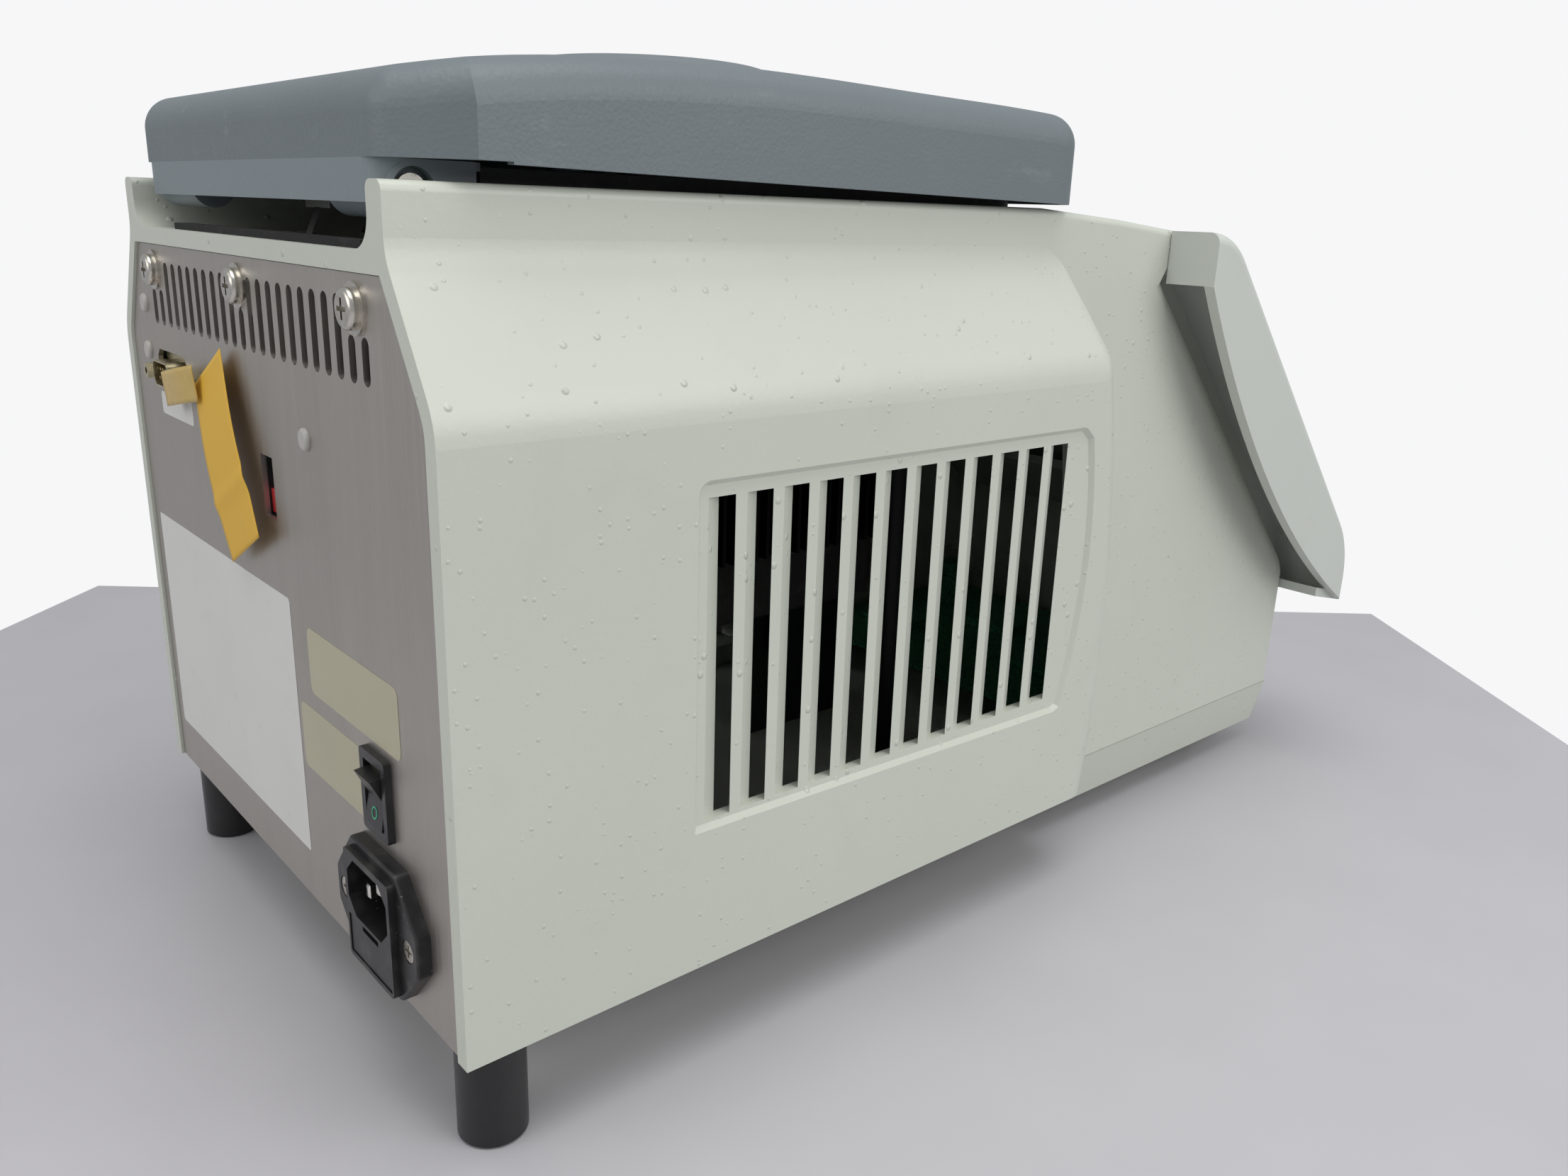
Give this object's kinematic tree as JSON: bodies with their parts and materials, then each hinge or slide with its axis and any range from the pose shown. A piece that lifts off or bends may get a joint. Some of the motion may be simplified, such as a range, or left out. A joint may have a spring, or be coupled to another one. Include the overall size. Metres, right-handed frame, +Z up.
{
  "type": "thermal cycler",
  "caption": "Bench thermal cycler: waisted painted housing with louvred side bulges, hinged blue-grey lid with a round knob, sloped control console and a steel rear panel on tall rear legs.",
  "frame": {"origin": "centre of the bounding box's base, on the table", "axes": "+Z up, +Y to the rear panel, +X to the right seen from the rear panel's back, so the pictured side is -X"},
  "size_m": [0.24, 0.455, 0.2833],
  "materials": {
    "housing_paint": "textured warm grey-white enamel on a rigid moulding",
    "tray_paint": "grey-white enamel on sheet steel",
    "console_paint": "smooth grey-white enamel on a moulding",
    "window_clear": "clear",
    "display_dark": "dark display module",
    "overlay": "printed blue-grey film",
    "circuit_board": "green board",
    "key_plastic": "light grey key caps",
    "panel_steel": "vertical brushed grain",
    "screw_steel": "plated screws",
    "plug_grey": "small moulded plugs",
    "chromate": "yellow chromate plating",
    "black_insulator": "black moulded insulator",
    "gold_pin": "gold plated",
    "black_gloss": "black moulding with dust",
    "fuse_glass": "glass fuses",
    "selector_red": "red slider",
    "tag_paper": "yellow paper tag with tape",
    "sticker_paper": "bare white and cream stickers",
    "leg_black": "black satin legs",
    "foot_rubber": "black rubber",
    "block_metal": "machined",
    "surround_black": "black frame",
    "module_white": "white ceramic faces",
    "heatsink_dark": "black anodised",
    "steel_post": "turned steel",
    "fan_black": "black fan moulding",
    "transformer_iron": "laminated core and winding",
    "lid_blue_grey": "fine textured blue-grey",
    "skirt_grey": "smooth paler blue-grey",
    "tray_black": "black under-tray",
    "spindle_steel": "turned spindle",
    "plate_metal": "machined heated plate",
    "heater_mat": "silicone heater mat"
  },
  "bodies": {
    "housing": {"upper_housing": "housing_paint", "base_tray": "tray_paint", "front_console": "console_paint", "display_window": "window_clear", "display_module": "display_dark", "keypad_overlay": "overlay", "key_board": "circuit_board", "serial_board": "circuit_board", "main_board": "circuit_board", "driver_board": "circuit_board", "rear_panel": "panel_steel", "panel_screws": "screw_steel", "inlet_screws": "screw_steel", "panel_plugs": "plug_grey", "serial_shell": "chromate", "jackscrews": "chromate", "serial_insert": "black_insulator", "voltage_selector": "black_insulator", "serial_pins": "gold_pin", "inlet_pins": "gold_pin", "power_inlet": "black_gloss", "switch_frame": "black_gloss", "paper_tag": "tag_paper", "rear_legs": "leg_black", "front_feet": "foot_rubber", "rest_pads": "foot_rubber", "foam_strip": "foot_rubber", "sample_block": "block_metal", "block_base": "block_metal", "block_surround": "surround_black", "peltier_modules": "module_white", "heatsink": "heatsink_dark", "block_posts": "steel_post", "board_posts": "steel_post", "hinge_brackets": "steel_post", "hinge_shaft": "steel_post", "ball_catches": "steel_post", "fan_frame": "fan_black", "transformer": "transformer_iron"},
    "lid": {"lid_cover": "lid_blue_grey", "lid_skirt": "skirt_grey", "lid_tray": "tray_black", "hinge_arms": "steel_post", "arm_screws": "screw_steel"},
    "knob": {"lid_knob": "lid_blue_grey", "knob_spindle": "spindle_steel"},
    "plate": {"heated_plate": "plate_metal", "plate_heater": "heater_mat"},
    "rocker": {"power_rocker": "black_gloss"},
    "fuse_tray": {"fuse_drawer": "black_gloss", "fuses": "fuse_glass"},
    "selector": {"selector_slider": "selector_red"},
    "rotor": {"fan_rotor": "fan_black"},
    "key_body_1": {"key_1": "key_plastic"},
    "key_body_2": {"key_2": "key_plastic"},
    "key_body_3": {"key_3": "key_plastic"},
    "key_body_4": {"key_4": "key_plastic"},
    "key_body_5": {"key_5": "key_plastic"},
    "key_body_6": {"key_6": "key_plastic"}
  },
  "joints": [
    {"name": "lid_hinge", "type": "hinge", "parent": "housing", "child": "lid", "pos_m": [0, 0.2075, 0.211], "axis": [-1, 0, 0], "range_deg": [0, 70]},
    {"name": "knob_turn", "type": "hinge", "parent": "lid", "child": "knob", "pos_m": [0, 0.0855, 0.27], "axis": [0, 0, -1], "range_deg": [0, 270]},
    {"name": "plate_press", "type": "slide", "parent": "lid", "child": "plate", "axis": [0, 0, -1], "range_m": [0, 0.003]},
    {"name": "power_switch", "type": "hinge", "parent": "housing", "child": "rocker", "pos_m": [-0.075, 0.2175, 0.0905], "axis": [1, 0, 0], "range_deg": [0, 18]},
    {"name": "fuse_slide", "type": "slide", "parent": "housing", "child": "fuse_tray", "axis": [0, 1, 0], "range_m": [0, 0.018]},
    {"name": "voltage_slide", "type": "slide", "parent": "housing", "child": "selector", "axis": [0, 0, 1], "range_m": [0, 0.0095]},
    {"name": "fan_spin", "type": "hinge", "parent": "housing", "child": "rotor", "pos_m": [0, 0.0855, 0.12], "axis": [0, 0, 1], "continuous": true},
    {"name": "press_key_1", "type": "slide", "parent": "housing", "child": "key_body_1", "axis": [0, 0.7071, -0.7071], "range_m": [0, 0.001], "stiffness_N_per_m": 200, "springref_m": -0.001},
    {"name": "press_key_2", "type": "slide", "parent": "housing", "child": "key_body_2", "axis": [0, 0.7071, -0.7071], "range_m": [0, 0.001], "stiffness_N_per_m": 200, "springref_m": -0.001},
    {"name": "press_key_3", "type": "slide", "parent": "housing", "child": "key_body_3", "axis": [0, 0.7071, -0.7071], "range_m": [0, 0.001], "stiffness_N_per_m": 200, "springref_m": -0.001},
    {"name": "press_key_4", "type": "slide", "parent": "housing", "child": "key_body_4", "axis": [0, 0.7071, -0.7071], "range_m": [0, 0.001], "stiffness_N_per_m": 200, "springref_m": -0.001},
    {"name": "press_key_5", "type": "slide", "parent": "housing", "child": "key_body_5", "axis": [0, 0.7071, -0.7071], "range_m": [0, 0.001], "stiffness_N_per_m": 200, "springref_m": -0.001},
    {"name": "press_key_6", "type": "slide", "parent": "housing", "child": "key_body_6", "axis": [0, 0.7071, -0.7071], "range_m": [0, 0.001], "stiffness_N_per_m": 200, "springref_m": -0.001}
  ],
  "couplings": [
    {"joint": "plate_press", "follows": "knob_turn", "m_per_rad": 0.00063}
  ]
}
